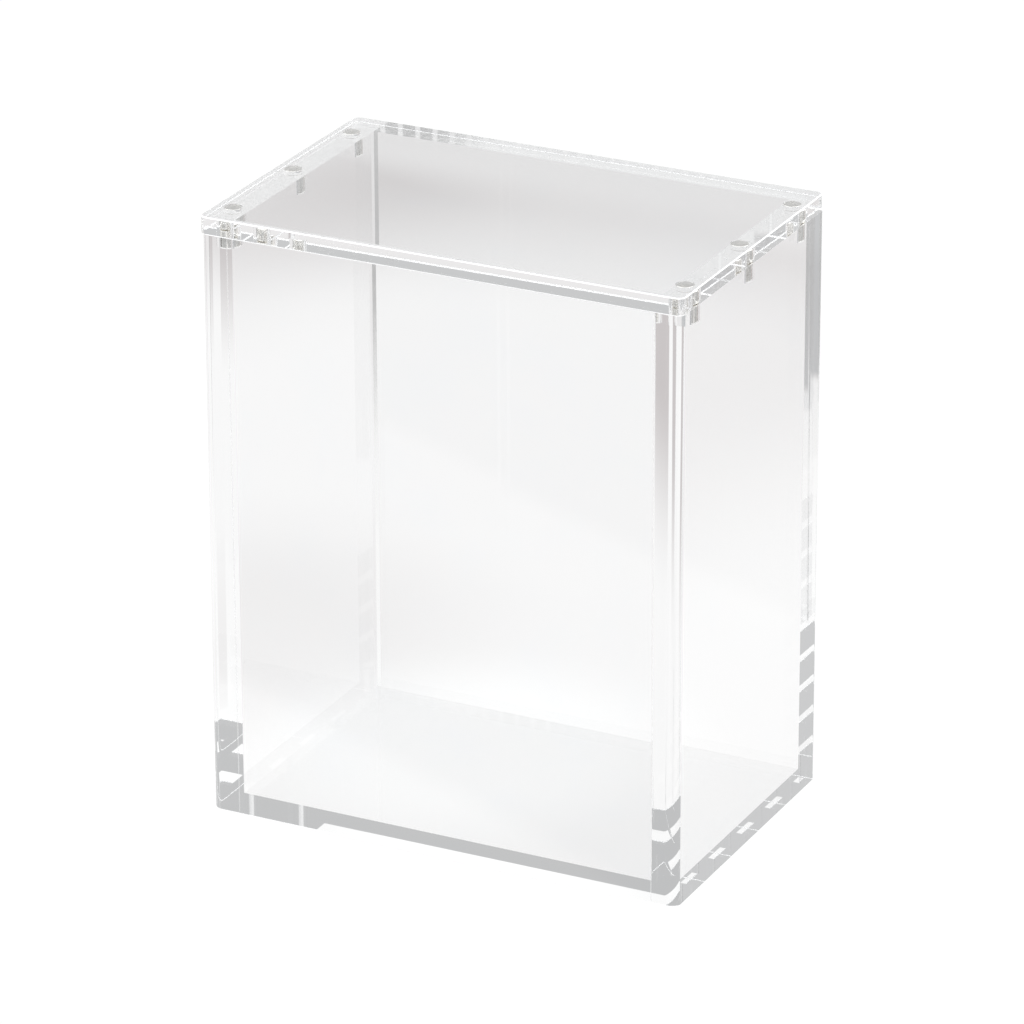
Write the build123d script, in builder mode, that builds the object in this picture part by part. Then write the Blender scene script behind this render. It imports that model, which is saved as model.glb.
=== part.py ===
from build123d import *
import os

os.makedirs("parts", exist_ok=True)

# Clear acrylic display case: a tub of five bonded panels and a loose lid that magnets hold down.
# Origin at the middle of the footprint, +Z up, +Y to the back. Millimetres.

# Driving dimensions
case_height = 139.0
tub_width = 112.4
tub_depth = 70.5
sheet = 4.0  # front, back, base and lid
side_sheet = 6.0  # the two walls that carry magnets
lid_overhang = 0.6
lid_corner_radius = 1.8
edge_chamfer = 0.3  # polished arris on every open edge

magnet_diameter = 4.0
lid_magnet_length = 3.0
wall_magnet_length = 4.0
magnet_pitch = 27.0  # middle magnet to the ones near the front and the back
magnet_recess = 0.1  # magnets sit just below the mating faces
pocket_clearance = 0.05  # all round, filled with glue

# Worked out from the above
wall_top = case_height - sheet
lid_width = tub_width + 2 * lid_overhang
lid_depth = tub_depth + 2 * lid_overhang
inner_width = tub_width - 2 * side_sheet
inner_depth = tub_depth - 2 * sheet
side_centre = tub_width / 2 - side_sheet / 2  # X of the side walls and their magnets
panel_centre = tub_depth / 2 - sheet / 2  # Y of the front and back panels
pocket_diameter = magnet_diameter + 2 * pocket_clearance
lid_pocket_depth = lid_magnet_length + magnet_recess
wall_pocket_depth = wall_magnet_length + magnet_recess

sides = {"left": -1, "right": 1}
rows = {"front": -magnet_pitch, "middle": 0.0, "back": magnet_pitch}


# Base: fills the floor between the four walls, so it has no open edge
with BuildPart() as base_panel:
    with BuildSketch(Plane.XY):
        Rectangle(inner_width, inner_depth)
    extrude(amount=sheet)
base_panel.part.label = "base_panel"
export_step(base_panel.part, "parts/base_panel.step")


# Side walls: full depth, with three blind magnet pockets in the top edge
def make_side_wall(name, side):
    outer_face = side * tub_width / 2
    with BuildPart() as side_wall:
        with BuildSketch(Plane.XY):
            with Locations((side * side_centre, 0)):
                Rectangle(side_sheet, tub_depth)
        extrude(amount=wall_top)
        # Open edges: all round the outer face, and the short ones at the top and the bottom
        open_edges = side_wall.edges().filter_by_position(Axis.X, outer_face, outer_face)
        open_edges += side_wall.edges().filter_by(Axis.X)
        chamfer(open_edges, length=edge_chamfer)
        pocket_places = [(side * side_centre, row) for row in rows.values()]
        with BuildSketch(Plane.XY.offset(wall_top)):
            with Locations(*pocket_places):
                Circle(pocket_diameter / 2)
        extrude(amount=-wall_pocket_depth, mode=Mode.SUBTRACT)
    side_wall.part.label = name
    export_step(side_wall.part, f"parts/{name}.step")


for side_name, side in sides.items():
    make_side_wall(f"{side_name}_panel", side)


# Front and back panels: bonded between the side walls, open along the top and bottom
def make_end_panel(name, end):
    outer_face = end * tub_depth / 2
    with BuildPart() as end_panel:
        with BuildSketch(Plane.XY):
            with Locations((0, end * panel_centre)):
                Rectangle(inner_width, sheet)
        extrude(amount=wall_top)
        outer_edges = end_panel.edges().filter_by_position(Axis.Y, outer_face, outer_face)
        chamfer(outer_edges.filter_by(Axis.X), length=edge_chamfer)
    end_panel.part.label = name
    export_step(end_panel.part, f"parts/{name}.step")


make_end_panel("front_panel", -1)
make_end_panel("back_panel", 1)


# Lid: a flat plate with rounded corners, proud of the tub all round, pockets in its underside
with BuildPart() as lid_panel:
    with BuildSketch(Plane.XY.offset(wall_top)):
        RectangleRounded(lid_width, lid_depth, lid_corner_radius)
    extrude(amount=sheet)
    chamfer(lid_panel.faces().filter_by(Axis.Z).edges(), length=edge_chamfer)
    lid_pockets = [(side * side_centre, row) for side in sides.values() for row in rows.values()]
    with BuildSketch(Plane.XY.offset(wall_top)):
        with Locations(*lid_pockets):
            Circle(pocket_diameter / 2)
    extrude(amount=lid_pocket_depth, mode=Mode.SUBTRACT)
lid_panel.part.label = "lid_panel"
export_step(lid_panel.part, "parts/lid_panel.step")


# Magnets: plain cylinders seated on the ends of their pockets
def make_magnet(name, place, bottom, length):
    with BuildPart() as magnet:
        with BuildSketch(Plane.XY.offset(bottom)):
            with Locations(place):
                Circle(magnet_diameter / 2)
        extrude(amount=length)
    magnet.part.label = name
    export_step(magnet.part, f"parts/{name}.step")


for side_name, side in sides.items():
    for row_name, row in rows.items():
        place = (side * side_centre, row)
        lid_bottom = wall_top + magnet_recess
        wall_bottom = wall_top - wall_pocket_depth
        make_magnet(f"lid_magnet_{side_name}_{row_name}", place, lid_bottom, lid_magnet_length)
        make_magnet(f"wall_magnet_{side_name}_{row_name}", place, wall_bottom, wall_magnet_length)
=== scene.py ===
import bpy
import bmesh
import math
from mathutils import Matrix, Vector


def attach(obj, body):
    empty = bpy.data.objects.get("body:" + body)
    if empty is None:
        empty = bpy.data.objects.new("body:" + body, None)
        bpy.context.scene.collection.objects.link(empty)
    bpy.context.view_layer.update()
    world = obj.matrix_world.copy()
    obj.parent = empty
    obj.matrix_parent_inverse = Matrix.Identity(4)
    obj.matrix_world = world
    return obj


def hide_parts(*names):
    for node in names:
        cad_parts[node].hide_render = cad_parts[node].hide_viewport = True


# Clear acrylic display case on a pale table: a bonded tub, a loose lid and twelve small magnets.

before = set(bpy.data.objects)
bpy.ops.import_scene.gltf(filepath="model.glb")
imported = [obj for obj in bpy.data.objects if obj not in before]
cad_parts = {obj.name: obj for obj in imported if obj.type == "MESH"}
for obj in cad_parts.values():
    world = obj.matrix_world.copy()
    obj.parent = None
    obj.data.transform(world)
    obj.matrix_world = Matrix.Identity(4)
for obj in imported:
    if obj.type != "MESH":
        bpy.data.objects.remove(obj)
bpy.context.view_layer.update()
scene = bpy.context.scene
mm = 0.001


class Signal:
    # wraps a number socket, so that shader maths reads as ordinary maths
    def __init__(self, tree, socket):
        self.tree = tree
        self.socket = socket

    def combine(self, operation, first, second):
        node = self.tree.nodes.new("ShaderNodeMath")
        node.operation = operation
        for place, value in zip(node.inputs, (first, second)):
            if isinstance(value, Signal):
                self.tree.links.new(value.socket, place)
            else:
                place.default_value = value
        return Signal(self.tree, node.outputs[0])

    def __add__(self, other):
        return self.combine("ADD", self, other)

    def __radd__(self, other):
        return self.combine("ADD", other, self)

    def __sub__(self, other):
        return self.combine("SUBTRACT", self, other)

    def __rsub__(self, other):
        return self.combine("SUBTRACT", other, self)

    def __mul__(self, other):
        return self.combine("MULTIPLY", self, other)

    def __rmul__(self, other):
        return self.combine("MULTIPLY", other, self)

    def __pow__(self, other):
        return self.combine("POWER", self, other)


class Nodes:
    # one method makes every node: its type, its settings, then its sockets
    def __init__(self, tree):
        self.tree = tree
        tree.nodes.clear()

    def make(self, kind, settings=None, inputs=None):
        node = self.tree.nodes.new(kind)
        for name, value in (settings or {}).items():
            setattr(node, name, value)
        for name, value in (inputs or {}).items():
            socket = node.inputs[name]
            if isinstance(value, Signal):
                self.tree.links.new(value.socket, socket)
            elif isinstance(value, bpy.types.NodeSocket):
                self.tree.links.new(value, socket)
            else:
                socket.default_value = value
        return node

    def number(self, socket):
        return Signal(self.tree, socket)

    def squash(self, value, stretch):
        # keeps a positive value, and shrinks a negative one by stretch
        return value.combine("MAXIMUM", value, 0.0) + value.combine("MINIMUM", value, 0.0) * stretch

    def step(self, value, low, high, bottom=0.0, top=1.0):
        # smooth ramp from bottom to top while value runs from low to high
        node = self.make("ShaderNodeMapRange", {"interpolation_type": "SMOOTHSTEP"},
                         {"Value": value, "From Min": low, "From Max": high,
                          "To Min": bottom, "To Max": top})
        return self.number(node.outputs["Result"])

    def noise(self, scale, detail, roughness):
        # cloudy pattern over the object, from 0 to 1
        spot = self.make("ShaderNodeTexCoord").outputs["Object"]
        cloud = self.make("ShaderNodeTexNoise", {}, {
            "Vector": spot, "Scale": scale, "Detail": detail, "Roughness": roughness})
        return self.number(cloud.outputs["Fac"])

    def bump(self, height, depth, strength=1.0):
        node = self.make("ShaderNodeBump", {}, {
            "Strength": strength, "Distance": depth, "Height": height})
        return node.outputs["Normal"]

    def blend(self, share, first, second):
        # mixes two colours, which are sockets 6 and 7 of the node
        node = self.make("ShaderNodeMix", {"data_type": "RGBA"}, {
            0: share, 6: (*first, 1.0), 7: (*second, 1.0)})
        return node.outputs[2]

    def mix(self, share, first, second):
        # mixes two shaders
        return self.make("ShaderNodeMixShader", {}, {
            0: share, 1: first.outputs[0], 2: second.outputs[0]})

    def cover(self, shader, kind="ShaderNodeOutputMaterial"):
        self.make(kind, {}, {"Surface": shader.outputs[0]})

    def ray(self, kind):
        # 1 for light rays of this kind and 0 for the rest
        return self.number(self.make("ShaderNodeLightPath").outputs["Is " + kind + " Ray"])

    def viaCase(self):
        # 1 for what the case mirrors or shows through its walls, 0 for what is seen past it
        return self.ray("Glossy") + self.ray("Transmission")


def grey(tone):
    return (tone, tone, tone, 1.0)


def newMaterial(name):
    material = bpy.data.materials.new(name)
    material.use_nodes = True
    return material, Nodes(material.node_tree)


# clear cast sheet, and the finish that handling and the saw leave on it
acrylic = {
    "tint": (0.992, 0.996, 1.0),
    "clearTint": (1.0, 1.0, 1.0),
    "ior": 1.491,
    "smudge": 0.004,  # most roughness that handling leaves
    "smudgeNoise": (55.0, 4.0, 0.55),  # each noise has a scale, a detail and a roughness
    "smudgeRange": (0.48, 0.72),  # noise that is clean, and noise that is fully smudged
    "castWave": 0.000004,  # depth of the sheet's waviness
    "castNoise": (26.0, 1.0, 0.4),
    "sawWave": 0.000003,  # depth of the flame-polished ripple on cut edges
    "sawNoise": (260.0, 1.0, 0.4),
    "hazeRoughness": 0.02,  # of the clear part of a hazy face
}


def makeAcrylic(name, wave, waveNoise):
    material, nodes = newMaterial(name)
    smudge = nodes.step(nodes.noise(*acrylic["smudgeNoise"]), *acrylic["smudgeRange"])
    nodes.cover(nodes.make("ShaderNodeBsdfPrincipled", {}, {
        "Base Color": nodes.blend(smudge, acrylic["clearTint"], acrylic["tint"]),
        "Roughness": smudge * acrylic["smudge"],
        "IOR": acrylic["ior"],
        "Transmission Weight": 1.0,
        "Normal": nodes.bump(nodes.noise(*waveNoise), wave),
    }))
    return material


satin = {
    "colour": (0.90, 0.905, 0.91),
    "paintedGlow": (0.80, 0.81, 0.82),  # painted highlight: glow that the sanded corners give off themselves, not light from any lamp
    "paintedGlowPower": 0.6,
    "roughness": 0.45,
    "roughest": 0.60,
    "grainNoise": (1400.0, 3.0, 0.6),
    "grainRange": (0.35, 0.65),
    "grainStrength": 0.3,
    "grainDepth": 0.00002,
}


def makeSatin():
    # the fine sanded arris that is left along every cut edge, which also glows as a painted
    # highlight
    material, nodes = newMaterial("satinArrisPaintedGlow")
    grain = nodes.noise(*satin["grainNoise"])
    rough = nodes.step(grain, *satin["grainRange"])
    nodes.cover(nodes.make("ShaderNodeBsdfPrincipled", {}, {
        "Base Color": (*satin["colour"], 1.0),
        "Roughness": satin["roughness"] + rough * (satin["roughest"] - satin["roughness"]),
        "IOR": acrylic["ior"],
        # painted highlight: the arris glows though no lamp lights it
        "Emission Color": (*satin["paintedGlow"], 1.0),
        "Emission Strength": satin["paintedGlowPower"],
        "Normal": nodes.bump(grain, satin["grainDepth"], satin["grainStrength"]),
    }))
    return material


# faces that are part clear and part pale, the pale part a painted glow of set grey that takes no
# light: how much, between which heights that grows, how bright that painted glow is, and the scale
# of its patches
hazes = {
    "sawnRim": {"share": 0.85, "from": 0.0, "to": 0.001, "tone": 0.90, "patches": 90.0},
    "cementBead": {"share": 0.45, "from": 0.0, "to": 0.001, "tone": 0.86, "patches": 90.0},
    "airyJoint": {"share": 0.95, "from": 0.055, "to": 0.110, "tone": 0.47, "patches": 400.0},
}
mottling = {
    "detail": 2.0,
    "roughness": 0.5,
    "range": (0.3, 0.7),
    "least": 0.8,  # share of its haze that a face keeps between the patches
}


def makeHaze(name):
    look = hazes[name]
    material, nodes = newMaterial(name)
    spot = nodes.make("ShaderNodeTexCoord").outputs["Object"]
    height = nodes.number(nodes.make("ShaderNodeSeparateXYZ", {}, {"Vector": spot}).outputs["Z"])
    cloud = nodes.noise(look["patches"], mottling["detail"], mottling["roughness"])
    mottle = nodes.step(cloud, *mottling["range"], mottling["least"], 1.0)
    clear = nodes.make("ShaderNodeBsdfPrincipled", {}, {
        "Base Color": grey(1.0), "Roughness": acrylic["hazeRoughness"] * mottle,
        "IOR": acrylic["ior"], "Transmission Weight": 1.0})
    # painted brightness: the pale part glows at its set grey instead of being lit
    paintedPaleGlow = nodes.make("ShaderNodeEmission", {}, {"Color": grey(look["tone"])})
    share = nodes.step(height, look["from"], look["to"]) * mottle * look["share"]
    nodes.cover(nodes.mix(share, clear, paintedPaleGlow))
    return material


nickel = {
    "bright": (0.93, 0.92, 0.89),
    "dull": (0.80, 0.78, 0.74),
    "roughness": 0.12,
    "wornRoughness": 0.30,
    "grainNoise": (900.0, 5.0, 0.6),
    "grainRange": (0.42, 0.68),
    "grainStrength": 0.35,
    "grainDepth": 0.00002,
}


def makeNickel():
    material, nodes = newMaterial("nickelPlate")
    grain = nodes.noise(*nickel["grainNoise"])
    worn = nodes.step(grain, *nickel["grainRange"])
    nodes.cover(nodes.make("ShaderNodeBsdfPrincipled", {}, {
        "Base Color": nodes.blend(worn, nickel["bright"], nickel["dull"]),
        "Metallic": 1.0,
        "Roughness": nickel["roughness"] + worn * (nickel["wornRoughness"] - nickel["roughness"]),
        "Normal": nodes.bump(grain, nickel["grainDepth"], nickel["grainStrength"]),
    }))
    return material


sheetAcrylic = makeAcrylic("acrylicSheet", acrylic["castWave"], acrylic["castNoise"])
edgeAcrylic = makeAcrylic("acrylicPolishedEdge", acrylic["sawWave"], acrylic["sawNoise"])
satinArrisPaintedGlow = makeSatin()
sawnRim = makeHaze("sawnRim")
airyJoint = makeHaze("airyJoint")
cementBead = makeHaze("cementBead")
nickelPlate = makeNickel()
print("materials ready")

shading = {
    "weld": 0.000001,  # corners closer than this are one
    "flatArea": 0.00002,  # a face larger than this, in square metres, stays perfectly flat
    "tubFlatArea": 0.00015,  # the same for the tub, whose curved ends have long strips
    "magnetFlatArea": 0.000009,
    "sharpAngle": 28.0,
    "tubSharpAngle": 8.0,
}


def putDown(bm, name, materials, flatArea=shading["flatArea"], sharpAngle=shading["sharpAngle"]):
    # makes the object: curved strips are smooth, and broad faces and crisp edges stay as they are
    bmesh.ops.remove_doubles(bm, verts=bm.verts, dist=shading["weld"])
    bmesh.ops.recalc_face_normals(bm, faces=bm.faces)
    limit = math.radians(sharpAngle)
    for face in bm.faces:
        face.smooth = face.calc_area() < flatArea
    for edge in bm.edges:
        flat = any(not face.smooth for face in edge.link_faces)
        edge.smooth = edge.is_manifold and edge.calc_face_angle(0.0) < limit and not flat
    mesh = bpy.data.meshes.new(name)
    bm.to_mesh(mesh)
    bm.free()
    piece = bpy.data.objects.new(name, mesh)
    for material in materials:
        mesh.materials.append(material)
    scene.collection.objects.link(piece)
    return piece


def startBox(width, depth, low, high):
    bm = bmesh.new()
    bmesh.ops.create_cube(bm, size=1.0)
    bmesh.ops.scale(bm, vec=(width, depth, high - low), verts=bm.verts)
    bmesh.ops.translate(bm, vec=(0.0, 0.0, (low + high) / 2), verts=bm.verts)
    return bm


def softenEdges(bm, edges, size, segments):
    bmesh.ops.bevel(bm, geom=edges, offset=size, offset_type="OFFSET", segments=segments,
                    profile=0.5, affect="EDGES", material=-1, clamp_overlap=True)


def cut(piece, tools):
    # takes the tools away from the piece, and hands the shape on without any of their objects
    for tool in tools:
        modifier = piece.modifiers.new("cut", "BOOLEAN")
        modifier.operation = "DIFFERENCE"
        modifier.solver = "EXACT"
        modifier.object = tool
    graph = bpy.context.evaluated_depsgraph_get()
    carved = bpy.data.meshes.new_from_object(piece.evaluated_get(graph))
    piece.modifiers.clear()
    bm = bmesh.new()
    bm.from_mesh(carved)
    for used in tools + [piece]:
        bpy.data.objects.remove(used)
    return bm


def startDisc(x, y, low, high, radius, segments):
    bm = bmesh.new()
    bmesh.ops.create_cone(bm, cap_ends=True, segments=segments, radius1=radius, radius2=radius,
                          depth=high - low, matrix=Matrix.Translation((x, y, (low + high) / 2)))
    return bm


touch = 0.01 * mm  # places closer than this are the same
clearance = 1 * mm  # how far a cutting tool stands out of the piece
facing = 0.9  # a face whose normal has more than this of an axis looks along it
slanted = 0.1  # a face between this and facing is an arris
sides = {"left": -1, "right": 1}
rows = {"front": -1, "middle": 0, "back": 1}
corners = (("right", "front"), ("right", "back"), ("left", "back"), ("left", "front"))

# five bonded sheets that read as one piece of glass, the side walls thicker than the rest
tub = {
    "width": 113.0 * mm,
    "depth": 71.7 * mm,
    "top": 134.95 * mm,  # a hair under the lid
    "endSheet": 4.2 * mm,
    "sideSheet": {"left": 6.4 * mm, "right": 6.0 * mm},
    "base": 3.9 * mm,
    "joint": 0.02 * mm,  # hairline of air that stays in the long joints
    "bead": 0.30 * mm,  # pale line of cement along each front joint
    "arris": 0.10 * mm,
    "swellFrom": 30.0 * mm,  # height where the outline starts to change towards its top shape
    # joints that the cement has not filled, as (right or left, back or front), and how deep
    "openJoints": {(1, -1): 6.0 * mm, (-1, 1): 3.0 * mm},
    "pocketRadius": 2.05 * mm,
    "pocketDepth": 4.1 * mm,
    "pocketSegments": 72,
    "endDepth": 1.0 * mm,  # how far a wall end's curve can fall back
    "pitch": 27.0 * mm,
    "magnetX": 53.2 * mm,
}
# hand polishing rounds each wall's outer corner: how far in the rounding starts, how much the rest
# of the narrow end leans inwards, and the crease between the two, each low down and at the top
polish = {
    "strips": 10,
    "steps": 12,
    "turn": 56.0,
    "frontRight": {"reach": (2.8 * mm, 2.7 * mm), "lean": (0.0, 0.30), "crease": (0.0, 16.0)},
    "frontLeft": {"reach": (2.2 * mm, 3.2 * mm), "lean": (0.0, 0.05), "crease": (0.0, 0.0)},
    "backRight": {"reach": (0.7 * mm, 0.7 * mm), "lean": (0.0, 0.0), "crease": (0.0, 0.0)},
    "backLeft": {"reach": (2.0 * mm, 2.0 * mm), "lean": (0.0, 0.0), "crease": (0.0, 0.0)},
}


def wallEnd(shape, sheet, swell):
    # plan of one wall end, from its inner side out, as distance across and depth below the end
    reach, lean, crease = (shape[key][0] + swell * (shape[key][1] - shape[key][0])
                           for key in ("reach", "lean", "crease"))
    start, turn = math.radians(crease), math.radians(polish["turn"])
    radius = reach / (math.sin(turn) - math.sin(start))
    flat = sheet - reach
    points = []
    for index in range(polish["strips"]):
        place = flat * index / polish["strips"]
        points.append((place, lean * (flat - place) ** 2 / (2 * flat)))
    for index in range(polish["steps"] + 1):
        angle = start + (turn - start) * index / polish["steps"]
        points.append((flat + radius * (math.sin(angle) - math.sin(start)),
                       radius * (math.cos(start) - math.cos(angle))))
    return points


def raiseOutline(levels):
    # pulls an outline up through its levels, each a height and the plan there, into a solid
    bm = bmesh.new()
    height, outline = levels[0]
    top = bm.faces.new([bm.verts.new((x, y, height)) for x, y in outline])
    for height, outline in levels[1:]:
        raised = bmesh.ops.extrude_face_region(bm, geom=[top, *top.edges])["geom"]
        top = next(part for part in raised if isinstance(part, bmesh.types.BMFace))
        for corner, (x, y) in zip(top.verts, outline):
            corner.co = (x, y, height)
    return bm


def tubOutline(inset, swell):
    # plan of the tub, drawn in by inset; swell is 0 for its low shape and 1 for that at the top
    half = tub["depth"] / 2
    outline = []
    for sideName, rowName in corners:
        side, end = sides[sideName], rows[rowName]
        sheet = tub["sideSheet"][sideName]
        inner = tub["width"] / 2 - sheet
        run = [(inner - tub["bead"], half), (inner - tub["joint"] / 2, half)]
        run += [(inner + across, half - depth)
                for across, depth in wallEnd(polish[rowName + sideName.capitalize()], sheet, swell)]
        run = [(side * x * (1.0 - 2 * inset / tub["width"]),
                end * y * (1.0 - 2 * inset / tub["depth"])) for x, y in run]
        outline += run if side == -end else run[::-1]
    return outline


def hollowOutline():
    # plan of what is taken out: the room inside, and the hairlines left beside the end sheets
    deep = tub["depth"] / 2 - tub["endSheet"]
    outline = []
    for sideName, rowName in corners:
        side, end = sides[sideName], rows[rowName]
        inner = tub["width"] / 2 - tub["sideSheet"][sideName]
        if (side, end) in tub["openJoints"]:
            past = deep + tub["openJoints"][side, end]
            near = inner - tub["joint"]
            corner = [(near, deep), (near, past), (inner, past)]
        else:
            corner = [(inner, deep)]
        corner = [(side * x, end * y) for x, y in corner]
        outline += corner if side == -end else corner[::-1]
    return outline


def drillPockets(low, high):
    # one tool for each magnet, in the order of the sides and rows
    return [putDown(startDisc(side * tub["magnetX"], row * tub["pitch"], low, high,
                              tub["pocketRadius"], tub["pocketSegments"]), "drill", [])
            for side in sides.values() for row in rows.values()]


def innerFace(side):
    # where the inner side of the left or right wall stands
    return side * (tub["width"] / 2 - tub["sideSheet"]["right" if side > 0 else "left"])


def tubFinish(spot, normal):
    # which of the tub's finishes a face has, from its middle and the way it looks
    half = tub["depth"] / 2
    beside = abs(innerFace(1 if spot.x > 0.0 else -1)) - abs(spot.x)
    if abs(normal.z) > facing:
        rim = spot.z > tub["top"] - touch
        return sawnRim if rim and spot.x < innerFace(-1) else sheetAcrylic
    if abs(normal.z) > slanted:
        return satinArrisPaintedGlow
    if spot.y < touch - half and 0.0 < beside < tub["bead"]:
        return cementBead
    if abs(beside) < 2 * tub["joint"] and spot.x < 0.0 < spot.y and abs(normal.x) > facing:
        return airyJoint if spot.y > half - tub["endSheet"] else sheetAcrylic
    return edgeAcrylic if abs(spot.y) > half - tub["endDepth"] and beside < 0.0 else sheetAcrylic


def buildTub():
    levels = [(0.0, tubOutline(tub["arris"], 0.0)), (tub["arris"], tubOutline(0.0, 0.0)),
              (tub["swellFrom"], tubOutline(0.0, 0.0)), (tub["top"], tubOutline(0.0, 1.0))]
    body = putDown(raiseOutline(levels), "bondedTub", [], shading["tubFlatArea"])
    inside = [(tub["base"], hollowOutline()), (tub["top"] + clearance, hollowOutline())]
    tools = [putDown(raiseOutline(inside), "hollow", [])]
    tools += drillPockets(tub["top"] - tub["pocketDepth"], tub["top"] + clearance)
    bm = cut(body, tools)
    # the left wall's rim has a finish of its own, so the rim is split along that wall
    rim = [face for face in bm.faces if face.calc_center_median().z > tub["top"] - touch]
    rim += list({part for face in rim for part in list(face.edges) + list(face.verts)})
    bmesh.ops.bisect_plane(bm, geom=rim, plane_co=(innerFace(-1), 0, 0), plane_no=(1, 0, 0),
                           dist=shading["weld"])
    # and the sliver that the split leaves open is closed
    gaps = [edge for edge in bm.edges if edge.is_boundary]
    bmesh.ops.holes_fill(bm, edges=gaps, sides=len(gaps))
    finishes = [sheetAcrylic, edgeAcrylic, satinArrisPaintedGlow, sawnRim, airyJoint, cementBead]
    piece = putDown(bm, "bondedTub", finishes, shading["tubFlatArea"], shading["tubSharpAngle"])
    for polygon in piece.data.polygons:
        polygon.material_index = finishes.index(tubFinish(polygon.center, polygon.normal))
    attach(piece, "case")
    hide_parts("base_panel", "front_panel", "back_panel", "left_panel", "right_panel")
    print("tub ready", len(piece.data.polygons))


buildTub()

# loose plate that overhangs the side walls a little
lid = {
    "width": 113.6 * mm,
    "depth": 71.7 * mm,
    "bottom": 135.0 * mm,
    "top": 139.0 * mm,
    "cornerRadius": 1.8 * mm,
    "cornerSegments": 12,
    "arris": 0.2 * mm,
    "pocketDepth": 3.1 * mm,
}


def buildLid():
    bm = startBox(lid["width"], lid["depth"], lid["bottom"], lid["top"])
    upright = [edge for edge in bm.edges
               if abs(edge.verts[0].co.z - edge.verts[1].co.z) > touch]
    softenEdges(bm, upright, lid["cornerRadius"], lid["cornerSegments"])
    rims = [edge for edge in bm.edges
            if abs(edge.verts[0].co.z - edge.verts[1].co.z) < touch]
    softenEdges(bm, rims, lid["arris"], 1)
    plate = putDown(bm, "lidPlate", [])
    bm = cut(plate, drillPockets(lid["bottom"] - clearance, lid["bottom"] + lid["pocketDepth"]))
    piece = putDown(bm, "lidPlate", [sheetAcrylic, edgeAcrylic, satinArrisPaintedGlow])
    for polygon in piece.data.polygons:
        tilt = abs(polygon.normal.z)
        polygon.material_index = 0 if tilt > facing else 2 if tilt > slanted else 1
    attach(piece, "lid")
    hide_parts("lid_panel")
    print("lid ready", len(piece.data.polygons))


buildLid()

# plated discs that stand just short of the faces that meet
magnet = {
    "radius": 2.0 * mm,
    "segments": 64,
    "edge": 0.22 * mm,
    "edgeSegments": 4,
    "rimAngle": 57.0,  # an edge that turns by more than this is a rim
    "lidLow": 135.1 * mm,
    "lidHigh": 138.05 * mm,
    "wallLow": 130.95 * mm,
    "wallHigh": 134.88 * mm,
}


def buildMagnet(name, x, y, low, high, body, node):
    bm = startDisc(x, y, low, high, magnet["radius"], magnet["segments"])
    limit = math.radians(magnet["rimAngle"])
    rims = [edge for edge in bm.edges if edge.calc_face_angle(0.0) > limit]
    softenEdges(bm, rims, magnet["edge"], magnet["edgeSegments"])
    piece = putDown(bm, name, [nickelPlate], shading["magnetFlatArea"])
    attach(piece, body)
    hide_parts(node)


for sideName, side in sides.items():
    for rowName, row in rows.items():
        x = side * tub["magnetX"]
        y = row * tub["pitch"]
        tail = sideName.capitalize() + rowName.capitalize()
        buildMagnet("lidMagnet" + tail, x, y, magnet["lidLow"], magnet["lidHigh"],
                    "lid", "lid_magnet_" + sideName + "_" + rowName)
        buildMagnet("wallMagnet" + tail, x, y, magnet["wallLow"], magnet["wallHigh"],
                    "case", "wall_magnet_" + sideName + "_" + rowName)
print("magnets ready")

# pale table and a soft room; what the case shows of them through its walls is set apart from
# what the camera sees
studio = {
    "tableSize": 8.0,
    "tableDrop": 0.0001,
    "shadow": 0.06,  # share of the table's look that takes shadows
    "white": 1.03,  # the table and backdrop as the camera sees them
    # the soft pool of lamp light that the case shows through its walls
    "poolX": -0.082, "poolY": 0.090, "poolNear": 0.185, "poolFar": 0.298,
    "frontStretch": 0.6,
    "poolLevel": 0.98, "dimLevel": 0.57,
    # painted light on the table too: a brighter core near the case, and a painted shadow patch
    # further left
    "coreX": -0.020, "coreY": 0.016, "coreNear": 0.025, "coreFar": 0.065, "coreGain": 0.09,
    "patchX": -0.105, "patchY": 0.060, "patchNear": 0.015, "patchFar": 0.085, "patchLoss": 0.11,
    # a brighter lane of the table that runs straight back
    "laneX": -0.090, "laneNear": 0.060, "laneFar": 0.130, "laneEnd": 0.080, "laneGain": 0.15,
    # the shaded near side of the table, past a line that slopes away to the left
    "nearSlope": 0.45, "nearLine": 0.055, "nearEnd": 0.062, "nearLevel": 0.53,
    # the lit backdrop, where the table's far side and its far left turn bright
    "farLine": 0.330, "farEnd": 0.362, "leftLine": -0.175, "leftEnd": -0.280, "farLevel": 0.85,
    "warmth": 0.075, "chill": 0.018, "skyChill": 0.008,  # red of the dim table, blue of the dark
    # the room, by height of the sky from 0 to 1: bright near the table, dimmer above that
    "horizonGlow": 0.71, "skyGlow": 0.53, "horizonLow": 0.2, "horizonHigh": 0.45,
    "windowGlow": 0.35, "windowFrom": 0.5, "windowTo": 0.7,  # a window off to the right
    "tentLow": 0.50,  # the lit tent overhead starts at this height of the sky
    "tentHigh": 0.66,
    "tentGlow": 1.8,
    "paper": 0.9,  # grey of the table where it takes shadows
}
lamp = {"place": (0.1, 0.2, 1.9), "aim": (0.0, 0.0, 0.07), "size": 1.2, "power": 4.0}
lightBounces = 64  # light bounces many times inside clear edges


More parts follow.
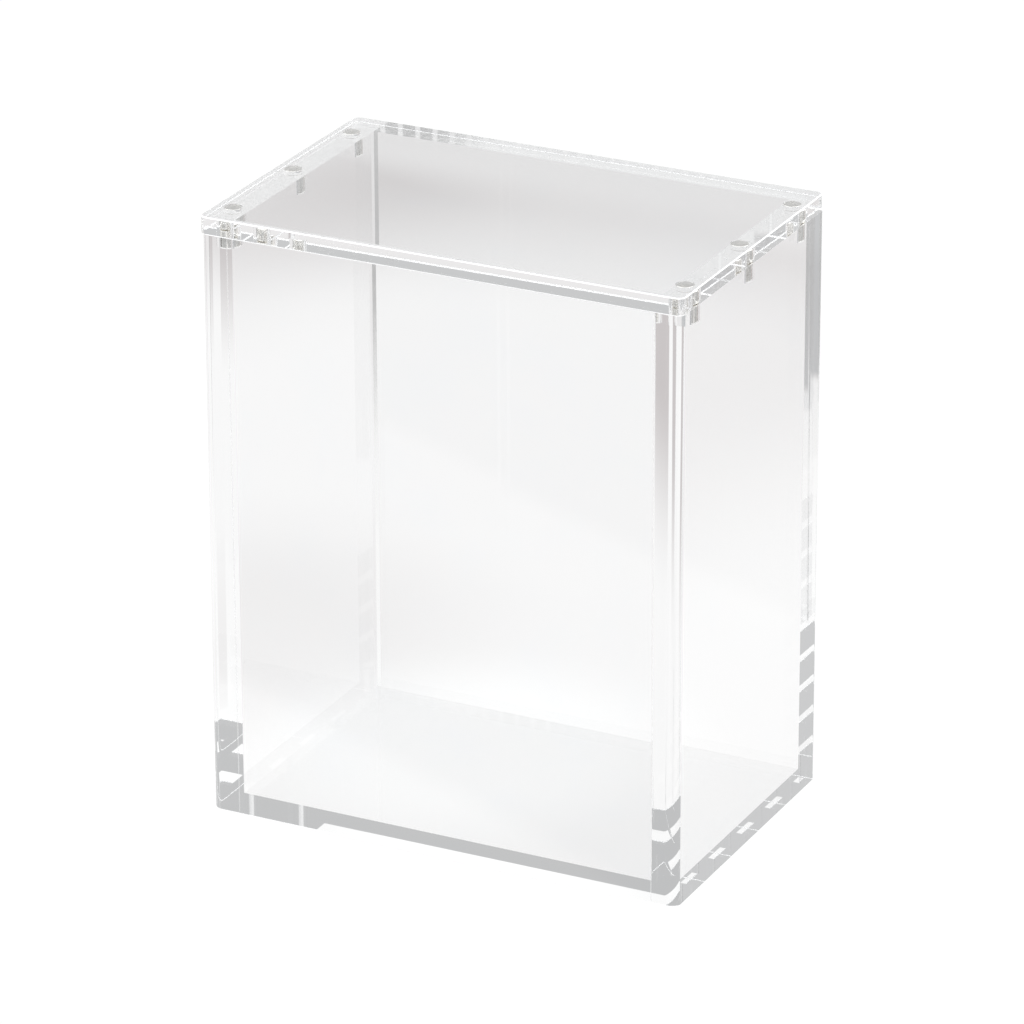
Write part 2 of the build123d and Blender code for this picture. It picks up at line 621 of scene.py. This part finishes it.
def buildTable():
    bm = bmesh.new()
    bmesh.ops.create_grid(bm, x_segments=1, y_segments=1, size=studio["tableSize"] / 2)
    bmesh.ops.translate(bm, vec=(0, 0, -studio["tableDrop"]), verts=bm.verts)
    material, nodes = newMaterial("paleTable")
    split = nodes.make("ShaderNodeSeparateXYZ", {}, {
        "Vector": nodes.make("ShaderNodeTexCoord").outputs["Object"]})
    x = nodes.number(split.outputs["X"])
    y = nodes.number(split.outputs["Y"])

    def spread(name, stretch=1.0):
        # 1 at a light patch's middle, easing to 0 at its far radius
        across = x - studio[name + "X"]
        along = y - studio[name + "Y"]
        if stretch < 1.0:
            along = nodes.squash(along, stretch)
        away = (across * across + along * along) ** 0.5
        return nodes.step(away, studio[name + "Near"], studio[name + "Far"], 1.0, 0.0)

    pool = spread("pool", studio["frontStretch"])
    off = x - studio["laneX"]
    lane = nodes.step((off * off) ** 0.5, studio["laneNear"], studio["laneFar"], 1.0, 0.0)
    lane = lane * nodes.step(y, 0.0, studio["laneEnd"])
    dim = studio["dimLevel"] + lane * studio["laneGain"]
    level = dim + pool * (studio["poolLevel"] - dim)
    # painted brighter core, and painted shadow patch
    level = level + spread("core") * studio["coreGain"] - spread("patch") * studio["patchLoss"]
    far = nodes.step(y, studio["farLine"], studio["farEnd"])
    far = far.combine("MAXIMUM", far, nodes.step(x, studio["leftEnd"], studio["leftLine"], 1.0, 0.0))
    level = level + far * (studio["farLevel"] - level)
    near = nodes.step(x * studio["nearSlope"] - y, studio["nearLine"], studio["nearEnd"])
    level = level + near * (studio["nearLevel"] - level)
    shade = 1.0 - level
    colour = nodes.make("ShaderNodeCombineColor", {}, {
        "Red": level + shade * (studio["warmth"] - near * (studio["warmth"] + studio["chill"])),
        "Green": level,
        "Blue": level + shade * near * studio["chill"]})
    seen = nodes.make("ShaderNodeEmission", {}, {"Color": colour.outputs["Color"], "Strength": 1.0})
    white = nodes.make("ShaderNodeEmission", {}, {"Color": grey(1.0), "Strength": studio["white"]})
    paper = nodes.make("ShaderNodeBsdfDiffuse", {}, {"Color": grey(studio["paper"])})
    plain = nodes.mix(nodes.ray("Camera") * (1.0 - studio["shadow"]), paper, white)
    nodes.cover(nodes.mix(nodes.viaCase(), plain, seen))
    putDown(bm, "table", [material])


def buildRoom():
    world = bpy.data.worlds.new("room")
    scene.world = world
    world.use_nodes = True
    nodes = Nodes(world.node_tree)
    split = nodes.make("ShaderNodeSeparateXYZ", {}, {
        "Vector": nodes.make("ShaderNodeTexCoord").outputs["Generated"]})
    height = nodes.number(split.outputs["Z"])
    tent = nodes.step(height, studio["tentLow"], studio["tentHigh"]) * studio["tentGlow"]
    dim = nodes.step(height, studio["horizonLow"], studio["horizonHigh"],
                     studio["horizonGlow"], studio["skyGlow"])
    window = nodes.step(nodes.number(split.outputs["X"]), studio["windowFrom"],
                        studio["windowTo"], 0.0, studio["windowGlow"])
    level = tent + dim + window
    tone = nodes.make("ShaderNodeCombineColor", {}, {
        "Red": level - dim * studio["skyChill"], "Green": level,
        "Blue": level + dim * studio["skyChill"]})
    room = nodes.make("ShaderNodeBackground", {}, {"Color": tone.outputs["Color"]})
    white = nodes.make("ShaderNodeBackground", {}, {"Color": grey(1.0), "Strength": 1.0})
    nodes.cover(nodes.mix(nodes.viaCase(), white, room), "ShaderNodeOutputWorld")


def buildLamp():
    light = bpy.data.lights.new("overheadLamp", "AREA")
    light.shape = "DISK"
    light.size = lamp["size"]
    light.energy = lamp["power"]
    hung = bpy.data.objects.new("overheadLamp", light)
    scene.collection.objects.link(hung)
    hung.location = lamp["place"]
    hung.rotation_mode = "QUATERNION"
    aim = Vector(lamp["aim"]) - Vector(lamp["place"])
    hung.rotation_quaternion = aim.to_track_quat("-Z", "Y")


buildTable()
buildRoom()
buildLamp()
scene.cycles.max_bounces = lightBounces
scene.cycles.transmission_bounces = lightBounces
scene.cycles.glossy_bounces = lightBounces
scene.view_settings.view_transform = "Standard"
print("room ready")

view = {
    "place": (0.55164, -1.10231, 0.58687),
    "turn": (67.1617, 0.2059, 26.5272),
    "lens": 215.9,
    "sensor": 36.0,
    "nearest": 0.05,
    "farthest": 50.0,
    "slide": 0.00098,
}


def buildCamera():
    camera = bpy.data.objects.new("camera", bpy.data.cameras.new("camera"))
    scene.collection.objects.link(camera)
    camera.location = view["place"]
    camera.rotation_euler = [math.radians(angle) for angle in view["turn"]]
    camera.data.lens = view["lens"]
    camera.data.sensor_width = view["sensor"]
    camera.data.clip_start = view["nearest"]
    camera.data.clip_end = view["farthest"]
    camera.data.shift_x = view["slide"]
    scene.camera = camera


buildCamera()
print("camera ready")
